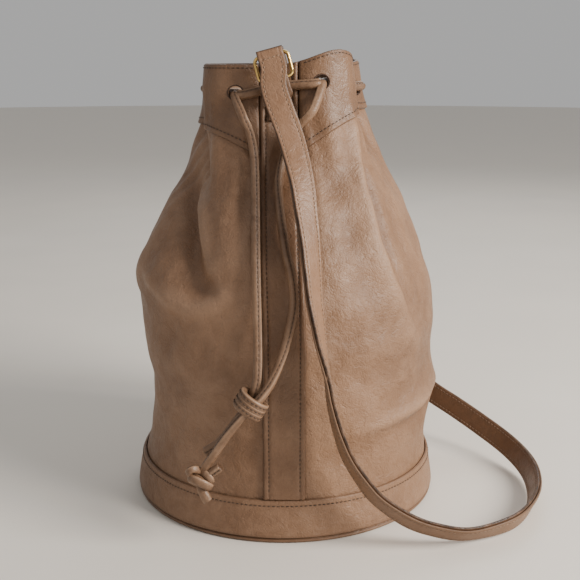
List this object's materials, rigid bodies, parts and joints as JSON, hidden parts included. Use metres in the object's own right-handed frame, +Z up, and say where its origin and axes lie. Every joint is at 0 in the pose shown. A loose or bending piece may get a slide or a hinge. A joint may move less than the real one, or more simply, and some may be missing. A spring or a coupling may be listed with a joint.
{
  "type": "bucket bag",
  "caption": "Slouched leather drawstring bucket bag: round base, gathered mouth, long shoulder strap on brass rings, sliding cord knot and knotted cord end.",
  "frame": {"origin": "centre of the round base's underside, on the surface the bag stands on", "axes": "+Z up. -Y is the front, where the drawstring's ends hang. +X is the side the shoulder strap lies out to."},
  "size_m": [0.3341, 0.2965, 0.3569],
  "materials": {
    "body_leather": "satin",
    "dark_leather": "satin",
    "inner_leather": "matte",
    "cord_leather": "satin",
    "board": "matte",
    "brass": "polished"
  },
  "bodies": {
    "bag": {"base_panel": "body_leather", "base_stiffener": "board", "base_piping": "body_leather", "base_band": "body_leather", "body_panel_left": "body_leather", "body_panel_right": "body_leather", "front_strip": "dark_leather", "back_strip": "dark_leather", "yoke_left": "dark_leather", "yoke_right": "dark_leather", "rim_facing": "inner_leather", "drawstring_loop": "cord_leather", "strap_tab_front": "dark_leather", "strap_tab_back": "dark_leather"},
    "strap": {"strap_outer": "body_leather", "strap_lining": "dark_leather"},
    "front_ring": {"ring_front": "brass"},
    "back_ring": {"ring_back": "brass"},
    "drawstring": {"drawstring_left": "cord_leather", "drawstring_right": "cord_leather", "end_knot": "cord_leather"},
    "slider": {"slider_knot": "cord_leather"}
  },
  "joints": [
    {"name": "strap_swing", "type": "hinge", "parent": "bag", "child": "strap", "pos_m": [-0.00995, 0, 0.35011], "axis": [0, -1, 0], "range_deg": [0, 148], "deforming": ["strap_lining"]},
    {"name": "front_ring_pivot", "type": "hinge", "parent": "bag", "child": "front_ring", "pos_m": [-0.0055, -0.064, 0.3335], "axis": [0.9659, 0, 0.2588], "range_deg": [-12, 2]},
    {"name": "back_ring_pivot", "type": "hinge", "parent": "bag", "child": "back_ring", "pos_m": [-0.0055, 0.064, 0.3335], "axis": [0.9659, 0, 0.2588], "range_deg": [-2, 12]},
    {"name": "drawstring_swing", "type": "hinge", "parent": "bag", "child": "drawstring", "pos_m": [-0.01, -0.069, 0.284], "axis": [-1, 0, 0], "range_deg": [0, 60], "deforming": ["drawstring_left", "drawstring_right"]},
    {"name": "slider_slide", "type": "slide", "parent": "drawstring", "child": "slider", "axis": [-0.5101, 0, -0.8601], "range_m": [-0.01, 0.022]}
  ]
}
